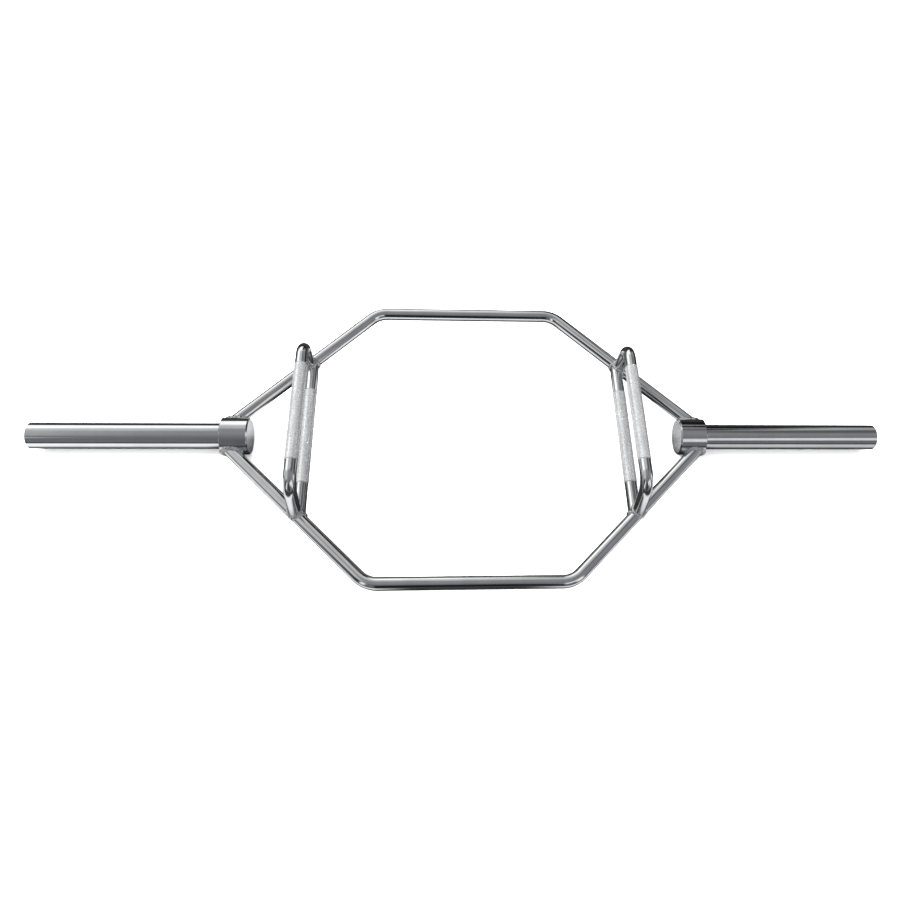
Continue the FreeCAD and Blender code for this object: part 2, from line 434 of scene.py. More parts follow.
frameFinish = {
    "thinColour": (0.69, 0.695, 0.70, 1),
    "thickColour": (0.78, 0.785, 0.79, 1),
    "brightRoughness": 0.045,
    "dullRoughness": 0.10,
    "smearStretch": (60.0, 60.0, 260.0),
    "smearPatches": 6.0,
    "smearCoverage": 0.6,
    "smearRoughness": 0.16,
    "peelStrength": 0.05,
    "peelDepth": 0.00002,
}
gripEndFinish = {
    "cloudScale": 22.0,
    "thinColour": (0.68, 0.685, 0.69, 1),
    "thickColour": (0.78, 0.785, 0.79, 1),
    "smearStretch": (320.0, 40.0, 320.0),
    "smearPatches": 18.0,
    "smearCoverage": 0.8,
    "smearRoughness": 0.2,
    "peelStrength": 0.05,
    "peelDepth": 0.00002,
}


def makeSmearedChrome(name, finish):
    material, tree, shader = newMaterial(name)
    plating = placePlating(tree, finish)
    smears = placeScuffs(tree, finish, "smear")
    dull = calc(tree, "MULTIPLY", smears.outputs["Mask"], finish["smearRoughness"])
    tree.links.new(plating.outputs["Colour"], shader.inputs["Base Color"])
    tree.links.new(calc(tree, "ADD", plating.outputs["Roughness"], dull), shader.inputs["Roughness"])
    addBump(tree, shader, plating.outputs["Height"], finish, "peel")
    return material


sleeveFinish = {
    "cloudScale": 9.0,
    "thinColour": (0.68, 0.685, 0.69, 1),
    "thickColour": (0.77, 0.775, 0.78, 1),
    "brightRoughness": 0.06,
    "dullRoughness": 0.13,
    "slideStretch": (9.0, 1400.0, 1400.0),  # plates pushed on and off
    "slidePatches": 7.0,
    "slideCoverage": 0.7,
    "spinStretch": (1500.0, 18.0, 18.0),  # plates that turn on the sleeve
    "spinPatches": 5.0,
    "spinCoverage": 0.6,
    "scuffRoughness": 0.22,
    "wornColour": (0.86, 0.86, 0.87, 1),
    "edgeWear": 0.6,
    "scuffWear": 0.5,
    "peelShare": 0.3,
    "turningStrength": 0.12,
    "turningDepth": 0.00002,
}


def makeSleeveChrome():
    material, tree, shader = newMaterial("sleeveChrome")
    plating = placePlating(tree, sleeveFinish)
    slides = placeScuffs(tree, sleeveFinish, "slide")
    spins = placeScuffs(tree, sleeveFinish, "spin")
    turning = placeGroup(tree, turningGroup, {})
    scuffs = calc(tree, "MAXIMUM", slides.outputs["Mask"], spins.outputs["Mask"])
    marks = calc(tree, "MAXIMUM", scuffs, turning.outputs["Mask"])
    dull = calc(tree, "MULTIPLY", marks, sleeveFinish["scuffRoughness"])
    edgeWear = calc(tree, "MULTIPLY", readLayer(tree, "edge"), sleeveFinish["edgeWear"])
    scuffWear = calc(tree, "MULTIPLY", scuffs, sleeveFinish["scuffWear"])
    worn = calc(tree, "MAXIMUM", edgeWear, scuffWear)
    colour = mixColours(tree, worn, plating.outputs["Colour"], sleeveFinish["wornColour"])
    peel = calc(tree, "MULTIPLY", plating.outputs["Height"], sleeveFinish["peelShare"])
    height = calc(tree, "ADD", turning.outputs["Height"], peel)
    tree.links.new(colour, shader.inputs["Base Color"])
    tree.links.new(calc(tree, "ADD", plating.outputs["Roughness"], dull), shader.inputs["Roughness"])
    addBump(tree, shader, height, sleeveFinish, "turning")
    return material


knurlFinish = {
    "metal": 0.84,  # the fine teeth scatter much of the light
    "cloudScale": 210.0,
    "peelScale": 300.0,
    "thinColour": (0.74, 0.74, 0.745, 1),  # dull crests
    "thickColour": (1.0, 1.0, 1.0, 1),  # bright crests
    "brightRoughness": 0.2,
    "dullRoughness": 0.3,
    "handledColour": (0.7, 0.705, 0.715, 1),  # streaks that hands leave along the grip
    "handledStretch": (210.0, 16.0, 210.0),
    # painted shade in the grooves between the teeth
    "grooveShadeColour": (0.38, 0.38, 0.385, 1),
    "grooveRoughness": 0.46,
    "toothStrength": 0.6,
    "toothDepth": 0.0003,
}


def makeKnurlChrome():
    material, tree, shader = newMaterial("knurlChrome", knurlFinish["metal"])
    plating = placePlating(tree, knurlFinish)
    streaks = placeGroup(tree, scuffGroup, {"Stretch": knurlFinish["handledStretch"]}).outputs["Streaks"]
    # painted shade: the grooves, where the crest layer is 0, take the darker groove colour
    height = fadeIn(tree, readLayer(tree, "crest"), 0.0, 1.0)
    colour = mixColours(tree, streaks, knurlFinish["handledColour"], plating.outputs["Colour"])
    colour = mixColours(tree, height, knurlFinish["grooveShadeColour"], colour)
    rough = remap(tree, height, 0.0, 1.0, knurlFinish["grooveRoughness"], 0.0)
    tree.links.new(colour, shader.inputs["Base Color"])
    tree.links.new(calc(tree, "MAXIMUM", rough, plating.outputs["Roughness"]), shader.inputs["Roughness"])
    addBump(tree, shader, plating.outputs["Height"], knurlFinish, "tooth")
    return material


weldFinish = {
    "cloudScale": 160.0,
    "peelScale": 900.0,
    "thinColour": (0.62, 0.62, 0.63, 1),
    "thickColour": (0.74, 0.74, 0.75, 1),
    "brightRoughness": 0.12,
    "dullRoughness": 0.3,
    "valleyShadeColour": (0.42, 0.42, 0.43, 1),  # painted shade between two ripples
    "grainStrength": 0.25,
    "grainDepth": 0.00012,
}


def makeWeldChrome():
    material, tree, shader = newMaterial("weldChrome")
    plating = placePlating(tree, weldFinish)
    # painted shade: the valleys between ripples are darker
    crown = readLayer(tree, "crown")
    colour = mixColours(tree, crown, weldFinish["valleyShadeColour"], plating.outputs["Colour"])
    tree.links.new(colour, shader.inputs["Base Color"])
    tree.links.new(plating.outputs["Roughness"], shader.inputs["Roughness"])
    addBump(tree, shader, plating.outputs["Height"], weldFinish, "grain")
    return material


frameChrome = makeSmearedChrome("frameChrome", frameFinish)
sleeveChrome = makeSleeveChrome()
gripEndChrome = makeSmearedChrome("gripEndChrome", gripEndFinish)
knurlChrome = makeKnurlChrome()
weldChrome = makeWeldChrome()
print("finishes ready")


# bars of the hexagon, bent twice and cut hollow to sit on the collars

frameBar = {
    "frontStraight": 0.375,  # between the corners where the axes cross
    "diagonal": math.radians(45),
    "bendRadius": 0.050,
    "bendSteps": 28,
    "bendFlattening": 0.012,  # a bent bar is a little oval in its bends
    "bendSwell": 0.4,  # share of the flattening that it gains the other way
    "middleRun": (0.0, 0.08, 0.16),  # rings from the middle of the bar to its bend
    "lastRun": (0.004, 0.10, 0.20, 0.30),  # rings from the bend to the collar
    "segments": 72,
    "sink": 0.0004,  # overlap with the collar that it is welded to
}
apexX = frameBar["frontStraight"] / 2 + halfDepth / math.tan(frameBar["diagonal"])
collarAxis = (Vector((0, 0, axisZ)), rightward, collarRadius)


# half the axis of a bent bar as (across, up, turn) from its middle to its last straight run
def halfRoute(cornerAcross, cornerUp, bendRadius, turn, steps, firstRun, lastRun):
    setback = bendRadius * math.tan(turn / 2)
    levelEnd = cornerAcross - setback
    route = [(across, cornerUp, 0.0) for across in firstRun]
    for step in range(steps + 1):
        swing = turn * step / steps
        across = levelEnd + bendRadius * math.sin(swing)
        up = cornerUp - bendRadius * (1 - math.cos(swing))
        route.append((across, up, swing))
    for run in lastRun:
        distance = setback + run
        route.append((cornerAcross + math.cos(turn) * distance, cornerUp - math.sin(turn) * distance, turn))
    return route


# axis of a diagonal as a point, a direction from the collar on, and the bar's radius
def diagonalBar(side, end):
    direction = Vector((-side * math.cos(frameBar["diagonal"]), end * math.sin(frameBar["diagonal"]), 0))
    return Vector((side * apexX, 0, axisZ)), direction, barRadius


def makeFrameBar(endName):
    end = ends[endName]
    half = halfRoute(
        frameBar["frontStraight"] / 2, halfDepth, frameBar["bendRadius"], frameBar["diagonal"],
        frameBar["bendSteps"], frameBar["middleRun"], frameBar["lastRun"])
    route = [(-across, up, -turn) for across, up, turn in reversed(half[1:])] + half
    bm = bmesh.new()
    rings = []
    for across, up, turn in route:
        centre = Vector((across, end * up, axisZ))
        tangent = Vector((math.cos(turn), -end * math.sin(turn), 0))
        bent = math.sin(math.pi * abs(turn) / frameBar["diagonal"]) * frameBar["bendFlattening"]
        inPlane = upward.cross(tangent) * (1 - bent)
        acrossPlane = upward * (1 + bent * frameBar["bendSwell"])
        rings.append(addRing(bm, centre, inPlane, acrossPlane, barRadius, frameBar["segments"]))
    for first, second in zip(rings, rings[1:]):
        bridgeRings(bm, first, second)
    for ring, side in ((rings[0], -1), (rings[-1], 1)):
        copeEnd(bm, ring, -diagonalBar(side, end)[1], [collarAxis], frameBar["sink"])
    finishPiece(bm, [frameChrome], endName + "_frame_bar")


for endName in ends:
    makeFrameBar(endName)
print("frame bars built")


# collars, sleeves and the discs that close the sleeves, all turned about one axis

collar = {
    "faceRing": 0.5,  # a ring on the closed inner face, as a share of the radius
    "faceChamfer": 0.0025,
    "stopChamfer": 0.001,
    "edgeRounding": 0.0004,
    "sleeveLap": 0.001,  # the plate stop runs on under the sleeve
    "segments": 192,
}


def makeCollar(sideName):
    face, stop = collarLow.x, collarHigh.x
    rounding = collar["edgeRounding"]
    corners = [
        (face, 0),
        (face, collarRadius * collar["faceRing"]),
        (face, collarRadius - collar["faceChamfer"], rounding),
        (face + collar["faceChamfer"], collarRadius, rounding),
        (stop - collar["stopChamfer"], collarRadius, rounding),
        (stop, collarRadius - collar["stopChamfer"], rounding),
        (stop, sleeveRadius - collar["sleeveLap"]),
    ]
    bm = turnOutline(roundedOutline(corners), sides[sideName], collar["segments"])
    finishPiece(bm, [sleeveChrome], sideName + "_collar")


sleeve = {
    "wall": 0.005,
    "collarLap": 0.002,  # the tube runs on into the collar
    "middleRing": 0.18,  # from the outer end
    "chamfer": 0.0015,
    "edgeRounding": 0.0005,
    "segments": 160,
}
sleevePlug = {
    "thickness": 0.008,
    "gap": 0.00012,  # round the disc
    "faceRing": 0.5,  # a ring on the face, as a share of the radius
    "edgeRounding": 0.0006,
}
boreRadius = sleeveRadius - sleeve["wall"]
plugBack = sleeveEnd - sleevePlug["thickness"]


def makeSleeve(sideName):
    rounding = sleeve["edgeRounding"]
    corners = [
        (collarHigh.x - sleeve["collarLap"], sleeveRadius),
        (sleeveEnd - sleeve["middleRing"], sleeveRadius),
        (sleeveEnd - sleeve["chamfer"], sleeveRadius, rounding),
        (sleeveEnd, sleeveRadius - sleeve["chamfer"], rounding),
        (sleeveEnd, boreRadius, rounding),
        (plugBack, boreRadius),
    ]
    bm = turnOutline(roundedOutline(corners), sides[sideName], sleeve["segments"])
    finishPiece(bm, [sleeveChrome], sideName + "_sleeve")


def makeSleevePlug(sideName):
    radius = boreRadius - sleevePlug["gap"]
    corners = [
        (plugBack, radius),
        (sleeveEnd, radius, sleevePlug["edgeRounding"]),
        (sleeveEnd, radius * sleevePlug["faceRing"]),
        (sleeveEnd, 0),
    ]
    bm = turnOutline(roundedOutline(corners), sides[sideName], sleeve["segments"])
    finishPiece(bm, [sleeveChrome], sideName + "_sleeve_plug")


for sideName in sides:
    makeCollar(sideName)
    makeSleeve(sideName)
    makeSleevePlug(sideName)
print("collars and sleeves built")


# grips with a real diamond knurl

grip = {
    "plainRadius": 0.012,
    "knurlLength": 0.210,
    "runOut": 0.0012,  # slope at both ends of the knurl
    "shoulder": 0.0004,  # narrow ring that keeps the end of the slope crisp
    "diamondsAround": 36,
    "diamondSlope": math.radians(30),  # grooves to the axis of the bar
    "crestShare": 0.62,  # how much of each diamond is left flat on top
    "grooveRadius": 0.0123,
    "lastRing": 0.135,  # from the middle of a low grip, before its hollow end
    "sink": 0.0004,  # overlap with the bar that it is welded to
}
halfKnurl = grip["knurlLength"] / 2
gripSegments = 2 * grip["diamondsAround"]


# rows of diamonds along a straight run; gives back the rings at both ends for the plain bar to join
def knurlRun(bm, crestLayer, middle):
    around = grip["diamondsAround"]
    width = 2 * math.pi * crestRadius / around
    wanted = width / math.tan(grip["diamondSlope"]) / 2
    length = grip["knurlLength"] - 2 * grip["runOut"]
    rows = 2 * round(length / wanted / 2)
    step = length / rows

    def spot(turn, row, radius):
        angle = math.pi * turn / around
        outward = upward * math.cos(angle) + rightward * math.sin(angle)
        return middle + rearward * (row * step - length / 2) + outward * radius

    corners = {}
    for row in range(rows + 1):
        for turn in range(row % 2, gripSegments, 2):
            corners[turn, row] = bm.verts.new(spot(turn, row, grip["grooveRadius"]))
    share = grip["crestShare"]
    cell = ((1, 0), (0, 1), (-1, 0), (0, -1))
    for row in range(1, rows):
        for turn in range((row + 1) % 2, gripSegments, 2):
            rim = [corners[(turn + over) % gripSegments, row + on] for over, on in cell]
            top = []
            for over, on in cell:
                vert = bm.verts.new(spot(turn + over * share, row + on * share, crestRadius))
                vert[crestLayer] = 1.0
                top.append(vert)
            bm.faces.new(top).material_index = 1
            for index in range(4):
                after = (index + 1) % 4
                bm.faces.new((rim[index], rim[after], top[after], top[index])).material_index = 1
    start = [corners[turn, turn % 2] for turn in range(gripSegments)]
    finish = [corners[turn, rows - turn % 2] for turn in range(gripSegments)]
    return start, finish


# axis of a low grip as a point, a direction and its radius
def lowGripBar(side):
    return Vector((side * lowGripX, 0, axisZ)), rearward, grip["plainRadius"]


raised = {
    "bendRadius": 0.032,
    "lean": math.radians(9),  # legs from the vertical
    "bendSteps": 26,
    "bendFlattening": 0.015,
    "bendSwell": 0.4,  # share of the flattening that it gains the other way
    "legRun": (0.004, 0.03),  # rings from the bend down the leg
}
fall = math.pi / 2 - raised["lean"]  # turn of each bend
raisedFootY = (apexX - raisedX) * math.tan(frameBar["diagonal"])
raisedCornerY = raisedFootY - (raisedZ - axisZ) * math.tan(raised["lean"])


def legDirection(end):
    return Vector((0, end * math.sin(raised["lean"]), -math.cos(raised["lean"])))


# a knurl with plain bar on from both ends, along a route of (across, up, turn); gives the last rings
def addGrip(bm, middle, route):
    crestLayer = bm.verts.layers.float.new("crest")
    for previous, end in zip(knurlRun(bm, crestLayer, middle), ends.values()):
        for index, (across, up, turn) in enumerate(route):
            centre = middle + Vector((0, end * across, up))
            bent = math.sin(math.pi * turn / fall) * raised["bendFlattening"]
            inPlane = Vector((0, end * math.sin(turn), math.cos(turn))) * (1 - bent)
            acrossPlane = rightward * (1 + bent * raised["bendSwell"])
            ring = addRing(bm, centre, inPlane, acrossPlane, grip["plainRadius"], gripSegments)
            bridgeRings(bm, previous, ring, 1 if index == 0 else 0)  # the slope is still knurled
            previous = ring
        yield previous, end


def makeLowGrip(sideName):
    side = sides[sideName]
    bm = bmesh.new()
    route = [(across, 0, 0) for across in (halfKnurl, halfKnurl + grip["shoulder"], grip["lastRing"])]
    for ring, end in addGrip(bm, lowGripBar(side)[0], route):
        copeEnd(bm, ring, rearward * end, [diagonalBar(side, end)], grip["sink"])
    finishPiece(bm, [gripEndChrome, knurlChrome], sideName + "_low_grip")


def makeRaisedHandle(sideName):
    side = sides[sideName]
    bm = bmesh.new()
    route = halfRoute(
        raisedCornerY, 0, raised["bendRadius"], fall, raised["bendSteps"],
        (halfKnurl, halfKnurl + grip["shoulder"]), raised["legRun"])
    for ring, end in addGrip(bm, Vector((side * raisedX, 0, raisedZ)), route):
        copeEnd(bm, ring, legDirection(end), [diagonalBar(side, end), lowGripBar(side)], grip["sink"])
    finishPiece(bm, [gripEndChrome, knurlChrome], sideName + "_raised_handle")


for sideName in sides:
    makeLowGrip(sideName)
    makeRaisedHandle(sideName)
print("grips built")


# hand-laid weld beads along the lines where the bars land

bead = {
    "collarLeg": 0.0052,
    "gripLeg": 0.0042,
    "crownSize": 1.14,  # radius at the crown of a ripple, as a share of the leg
    "centreSink": 0.3,  # centre of the bead inside the corner, as a share of the leg
    "pitch": 0.0026,  # one ripple
    "rippleShare": 0.12,  # how much smaller the bead is between two ripples
    "rippleBow": 0.5,  # how far the sides of a ripple lag behind its crown, as a share of the leg
    "lumpShare": 0.3,
    "lumpScale": 260,
    "valleyLitShare": 0.45,  # painted shade between two ripples: share of the bead's own colour left there, where a crown has 1
    "barStart": 0.12,  # where the lines that find a landing start: along the bar or grip
    "legStart": 0.06,  # and up the leg of a raised handle
    "lineSamples": 420,
    "spacing": 0.0004,
    "segments": 20,
    "collarLumps": (3.1, 1.7),  # times side and end, so that each bead has lumps of its own
    "gripLumps": (5.3, 2.9),
    "legLumps": (7.7, 4.1),
}


# the closed line where a bar lands on others, with the direction halfway between both surfaces
def landingLine(point, direction, radius, bars):
    first = direction.orthogonal().normalized()
    second = direction.cross(first)
    line = []
    for step in range(bead["lineSamples"]):
        angle = 2 * math.pi * step / bead["lineSamples"]
        outward = first * math.cos(angle) + second * math.sin(angle)
        spot, barOutward = landing(point + outward * radius, direction, bars)
        line.append((spot, (outward + barOutward).normalized()))
    return line


# the same line with points at even distances, and its length
def evenLine(line):
    lengths = [(line[(index + 1) % len(line)][0] - line[index][0]).length for index in range(len(line))]
    total = sum(lengths)
    count = round(total / bead["spacing"])
    even, index, walked = [], 0, 0.0
    for step in range(count):
        wanted = total * step / count
        while walked + lengths[index] < wanted:
            walked += lengths[index]
            index += 1
        share = (wanted - walked) / lengths[index]
        here, after = line[index], line[(index + 1) % len(line)]
        even.append((here[0].lerp(after[0], share), here[1].lerp(after[1], share).normalized()))
    return even, total


def layBead(bm, crownLayer, line, leg, lumpStart):
    even, total = evenLine(line)
    ripples = round(total / bead["pitch"])
    count = len(even)
    valley = bead["valleyLitShare"]
    rings = []
    for step, (spot, outward) in enumerate(even):
        tangent = (even[(step + 1) % count][0] - even[step - 1][0]).normalized()
        outward = (outward - tangent * outward.dot(tangent)).normalized()
        across = tangent.cross(outward)
        phase = (step / count * ripples) % 1.0
        ripple = 1 - (2 * phase - 1) ** 2
        lump = noise.noise(spot * bead["lumpScale"] + Vector((lumpStart, 0, 0)))
        size = leg * (bead["crownSize"] + bead["rippleShare"] * (ripple - 1) + bead["lumpShare"] * lump)
        centre = spot - outward * leg * bead["centreSink"]
        ring = addRing(bm, centre, outward, across, size, bead["segments"])
        for index, vert in enumerate(ring):
            sideways = math.sin(2 * math.pi * index / bead["segments"])
            vert.co -= tangent * leg * bead["rippleBow"] * sideways ** 2
            # the crown layer carries the painted shade between ripples
            vert[crownLayer] = valley + (1 - valley) * ripple
        rings.append(ring)
    for first, second in zip(rings, rings[1:] + rings[:1]):
        bridgeRings(bm, first, second)


# one weld, with a bead along each of its lines
def makeWeld(sideName, endName, kind, lines):
    bm = bmesh.new()
    crownLayer = bm.verts.layers.float.new("crown")
    for lineName, line in lines.items():
        perSide, perEnd = bead[lineName + "Lumps"]
        lumpStart = perSide * sides[sideName] + perEnd * ends[endName]
        layBead(bm, crownLayer, line, bead[kind + "Leg"], lumpStart)
    finishPiece(bm, [weldChrome], f"{sideName}_{endName}_{kind}_weld")


def makeCollarWeld(sideName, endName):
    barPoint, direction, radius = diagonalBar(sides[sideName], ends[endName])
    line = landingLine(barPoint + direction * bead["barStart"], -direction, radius, [collarAxis])
    makeWeld(sideName, endName, "collar", {"collar": line})


def makeGripWeld(sideName, endName):
    side, end = sides[sideName], ends[endName]
    diagonal, lowGrip = diagonalBar(side, end), lowGripBar(side)
    leg = legDirection(end)
    gripStart = Vector((side * lowGripX, end * bead["barStart"], axisZ))
    gripLine = landingLine(gripStart, rearward * end, grip["plainRadius"], [diagonal])
    legStart = Vector((side * raisedX, end * raisedFootY, axisZ)) - leg * bead["legStart"]
    legLine = landingLine(legStart, leg, grip["plainRadius"], [diagonal, lowGrip])
    makeWeld(sideName, endName, "grip", {"grip": gripLine, "leg": legLine})


for sideName in sides:
    for endName in ends:
        makeCollarWeld(sideName, endName)
        makeGripWeld(sideName, endName)
print("welds laid")


# pale paper floor

floor = {
    "reach": 6.5,
    "fineReach": (1.0, 0.75),  # half sizes of the part with small cells
    "cell": 0.0125,
    "coarseSteps": 8,
    "colour": (0.93, 0.93, 0.935, 1),
    "shadeColour": (0.91, 0.91, 0.915, 1),
    "grain": {"Scale": 3.0, "Detail": 3.0},
    "roughness": 0.9,
    "gloss": 0.1,
    "mirroredColour": (0.28, 0.28, 0.285, 1),  # painted shade: the paper as the chrome shows it in the open, darker than the camera sees it
    "mirroredShadeColour": (0.012, 0.012, 0.012, 1),  # painted shade: the paper as the chrome shows it close under the bars and far off
    "contactStart": 0.028,  # painted contact shadow, from the axis of the nearest bar
    "contactEnd": 0.076,
    "litStart": 0.15,  # painted light lies on the floor for this far in front of a bar
    "litEnd": 0.34,
    "frontShadeHalfWidth": 0.16,  # painted shade: a dark patch on the floor in front of the front bar, mirrored in the chrome
    "frontShadeStart": 0.30,
    "frontShadeEdge": 0.06,
    "rightShare": 0.75,  # painted shade: the floor under the right sleeve gets less light
    "rightEdge": 0.05,
    "cornerLightColour": (0.5, 0.5, 0.505, 1),  # painted light patch that the inner face of each collar mirrors
    "cornerInset": 0.018,
    "cornerBack": 0.050,
    "cornerReach": 0.034,
    "cornerEdge": 0.014,
    "rightCornerShare": 0.45,
    "sleeveRunOn": 0.5,  # the painted shade under a sleeve goes on past its end
    "glowStart": 2.5,  # painted glow: from here on the paper glows for the camera and fades into the white of the studio
    "glowEnd": 5.0,
}


def smoothShare(value, low, high):
    share = min(1.0, max(0.0, (value - low) / (high - low)))
    return share * share * (3 - 2 * share)


# straight lines on the floor under the axes of the sleeves, the frame bars and the low grips
def barLines():
    cornerX = frameBar["frontStraight"] / 2
    far = sleeveEnd + floor["sleeveRunOn"]
    lines = [((-far, 0), (-apexX, 0)), ((apexX, 0), (far, 0))]
    for end in ends.values():
        lines.append(((-cornerX, end * halfDepth), (cornerX, end * halfDepth)))
        for side in sides.values():
            lines.append(((side * cornerX, end * halfDepth), (side * apexX, 0)))
    for side in sides.values():
        lines.append(((side * lowGripX, -raisedFootY), (side * lowGripX, raisedFootY)))
    return [(Vector(start), Vector(finish)) for start, finish in lines]


# painted shade and light: how light the chrome sees the floor, black close under a bar, far in front of one
# and behind them all
def mirroredLightShare(spot, lines):
    nearest = ahead = floor["reach"]
    for start, finish in lines:
        run = finish - start
        share = min(1.0, max(0.0, (spot - start).dot(run) / run.length_squared))
        nearest = min(nearest, (spot - start - run * share).length)
        if run.x and 0 <= (spot.x - start.x) / run.x <= 1:
            beyond = start.y + run.y * (spot.x - start.x) / run.x - spot.y
            if beyond > 0:
                ahead = min(ahead, beyond)
    # painted contact shadow close under a bar, and a painted pool of light in front of one
    clear = smoothShare(nearest, floor["contactStart"], floor["contactEnd"])
    lit = 1 - smoothShare(ahead, floor["litStart"], floor["litEnd"])
    # painted shade in front of the front bar
    edge = floor["frontShadeEdge"]
    frontShaded = smoothShare(-spot.y, floor["frontShadeStart"] - edge, floor["frontShadeStart"] + edge)
    frontShaded *= 1 - smoothShare(abs(spot.x), floor["frontShadeHalfWidth"] - edge, floor["frontShadeHalfWidth"] + edge)
    # painted shade under the right sleeve
    onRight = smoothShare(spot.x, apexX - floor["rightEdge"], apexX + floor["rightEdge"])
    return clear * lit * (1 - frontShaded) * (1 - (1 - floor["rightShare"]) * onRight)


# painted light patch by the inner face of each collar
def cornerLightShare(spot):
    offset = Vector((abs(spot.x) - collarLow.x + floor["cornerInset"], spot.y - floor["cornerBack"]))
    inner, outer = floor["cornerReach"] - floor["cornerEdge"], floor["cornerReach"] + floor["cornerEdge"]
    return (1 - smoothShare(offset.length, inner, outer)) * (1 if spot.x < 0 else floor["rightCornerShare"])


# small cells round the bar, then wider and wider ones
def floorSteps(fineReach):
    count = round(fineReach / floor["cell"])
    half = [fineReach * step / count for step in range(count + 1)]
    for step in range(1, floor["coarseSteps"] + 1):
        half.append(fineReach + (floor["reach"] - fineReach) * (step / floor["coarseSteps"]) ** 2)
    return [-value for value in reversed(half[1:])] + half


# painted reflection: the chrome sees a darker floor than the camera does, with painted shade and painted
# light patches on it
def makeFloorPaper():
    material, tree, shader = newMaterial("floorPaper", 0.0)
    shader.inputs["Roughness"].default_value = floor["roughness"]
    shader.inputs["Specular IOR Level"].default_value = floor["gloss"]
    shader.inputs["Emission Strength"].default_value = 1.0
    grain = newNode(tree, "ShaderNodeTexNoise", values=floor["grain"])
    tree.links.new(objectPlace(tree), grain.inputs["Vector"])
    paper = mixColours(tree, grain.outputs["Fac"], floor["shadeColour"], floor["colour"])
    # painted shade and light that only the chrome mirrors; the camera sees plain paper
    lit = readLayer(tree, "mirroredLightShare")
    mirrored = mixColours(tree, lit, floor["mirroredShadeColour"], floor["mirroredColour"])
    # painted light patches by the collars
    mirrored = mixColours(tree, readLayer(tree, "cornerLightShare"), mirrored, floor["cornerLightColour"])
    seen = newNode(tree, "ShaderNodeLightPath").outputs["Is Camera Ray"]
    # painted glow: the far paper emits light where the camera sees it
    glow = calc(tree, "MULTIPLY", readLayer(tree, "farGlowShare"), seen)
    tree.links.new(mixColours(tree, seen, mirrored, paper), shader.inputs["Base Color"])
    tree.links.new(glow, shader.inputs["Emission Color"])
    return material


def makeFloor():
    bm = bmesh.new()
    mirroredLightLayer = bm.verts.layers.float.new("mirroredLightShare")
    cornerLightLayer = bm.verts.layers.float.new("cornerLightShare")
    farGlowLayer = bm.verts.layers.float.new("farGlowShare")
    lines = barLines()
    rows = []
    for y in floorSteps(floor["fineReach"][1]):
        row = []
        for x in floorSteps(floor["fineReach"][0]):
            spot = Vector((x, y))
            vert = bm.verts.new((x, y, 0))
            vert[mirroredLightLayer] = mirroredLightShare(spot, lines)
            vert[cornerLightLayer] = cornerLightShare(spot)
            vert[farGlowLayer] = smoothShare(math.hypot(x, y), floor["glowStart"], floor["glowEnd"])
            row.append(vert)
        rows.append(row)
    for below, above in zip(rows, rows[1:]):
        for column in range(len(below) - 1):
            bm.faces.new((below[column], below[column + 1], above[column + 1], above[column]))
    piece = addMesh("studioFloor", bm, [makeFloorPaper()])


makeFloor()
print("floor laid")


# studio: soft cards all round for the chrome to mirror, and two lamps

# azimuth from the rear bar towards the right sleeve, elevation over the floor,
# half width and half height, and the soft edge, all in degrees; a later card covers an earlier one
cards = [
    {"azimuth": -8, "elevation": 36, "half": (36, 34), "edge": 12, "tone": (0.62, 0.62, 0.62)},
    {"azimuth": -84, "elevation": 44, "half": (30, 20), "edge": 12, "tone": (0.66, 0.66, 0.66)},
    {"azimuth": -17, "elevation": 28, "half": (18, 16), "edge": 10, "tone": (1.4, 1.4, 1.4)},
    {"azimuth": -52, "elevation": 30, "half": (14, 15), "edge": 8, "tone": (1.6, 1.6, 1.6)},
    {"azimuth": 50, "elevation": 52, "half": (10, 16), "edge": 6, "tone": (0.13, 0.13, 0.135)},
    {"azimuth": 18, "elevation": 17, "half": (9, 17), "edge": 3, "tone": (0.008, 0.008, 0.008)},
    {"azimuth": 26, "elevation": 45, "half": (4, 8.5), "edge": 2, "tone": (0.015, 0.015, 0.015)},
    {"azimuth": 3, "elevation": 4, "half": (40, 9), "edge": 4, "tone": (0.02, 0.02, 0.02)},
    {"azimuth": 64, "elevation": 4, "half": (20, 13), "edge": 4, "tone": (0.02, 0.02, 0.02)},
    {"azimuth": -76, "elevation": 8, "half": (8, 8), "edge": 5, "tone": (0.9, 0.9, 0.9)},
    {"azimuth": 90, "elevation": 12, "half": (8, 12), "edge": 5, "tone": (0.9, 0.9, 0.9)},
    {"azimuth": 128, "elevation": 22, "half": (9, 18), "edge": 6, "tone": (1.1, 1.1, 1.1)},
    {"azimuth": -139, "elevation": 22, "half": (6, 18), "edge": 4, "tone": (1.1, 1.1, 1.1)},
    {"azimuth": 150, "elevation": 36, "half": (14, 9), "edge": 4, "tone": (0.9, 0.9, 0.9)},
    {"azimuth": 180, "elevation": 22, "half": (11, 20), "edge": 5, "tone": (0.015, 0.015, 0.015)},
    {"azimuth": -122, "elevation": 24, "half": (9, 15), "edge": 5, "tone": (0.03, 0.03, 0.03)},
]
studio = {
    "leftTone": (0.317, 0.325, 0.341, 1),
    "rightTone": (0.267, 0.272, 0.284, 1),
    "frontTone": (0.173, 0.18, 0.194, 1),
    "seenTone": (1.0, 1.0, 1.0, 1),  # as the camera sees it
    "sideBlend": (-0.5, 0.5),  # of the direction's x, from the left tone to the right one
    "frontBlend": (-0.1, -0.8),  # of the direction's y, to the front tone
    "leastFacing": 0.001,  # a card is seen only from its front
}
floorLight = {"place": (-1.2, 0.3, 3.2), "target": (-1.2, 0.3, 0), "size": 14.0, "watts": 1250.0}
sideLight = {"place": (-3.0, 0.3, 3.2), "target": (0, 0, 0), "size": 1.6, "watts": 360.0}


